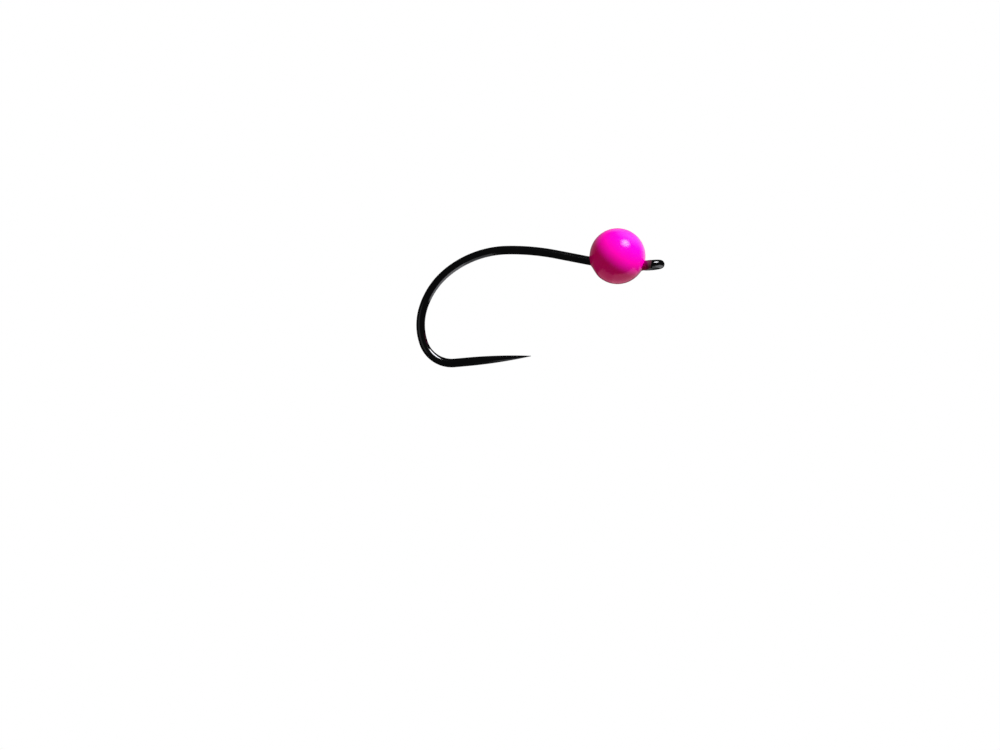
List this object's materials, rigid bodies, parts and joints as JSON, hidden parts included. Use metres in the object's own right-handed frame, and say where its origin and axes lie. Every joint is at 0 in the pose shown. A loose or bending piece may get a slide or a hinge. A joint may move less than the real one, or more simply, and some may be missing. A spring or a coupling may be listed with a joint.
{
  "type": "jig head",
  "caption": "Painted round ball weight bonded off-centre on a barbless wide-gape wire hook with a ringed eye, for tying flies or mounting soft baits.",
  "frame": {"origin": "centre of the hook's eye, in the middle of its hole", "axes": "+X out of the eye's nose, away from the bend and parallel to the point; +Z along the eye's hole, from the point's side to the shank's side; the hook lies in the XZ plane"},
  "size_m": [0.0182, 0.004, 0.009],
  "materials": {
    "hook_plating": "glossy black nickel plate on steel wire",
    "bead_metal": "dull grey sintered tungsten",
    "filler_resin": "cured bonding resin, flush with the bead",
    "white_undercoat": "flat white undercoat paint",
    "fluorescent_enamel": "glossy fluorescent magenta enamel"
  },
  "bodies": {
    "root": {"hook": "hook_plating", "bead_core": "bead_metal", "slot_filler": "filler_resin", "base_coat": "white_undercoat", "colour_coat": "fluorescent_enamel"}
  },
  "joints": []
}
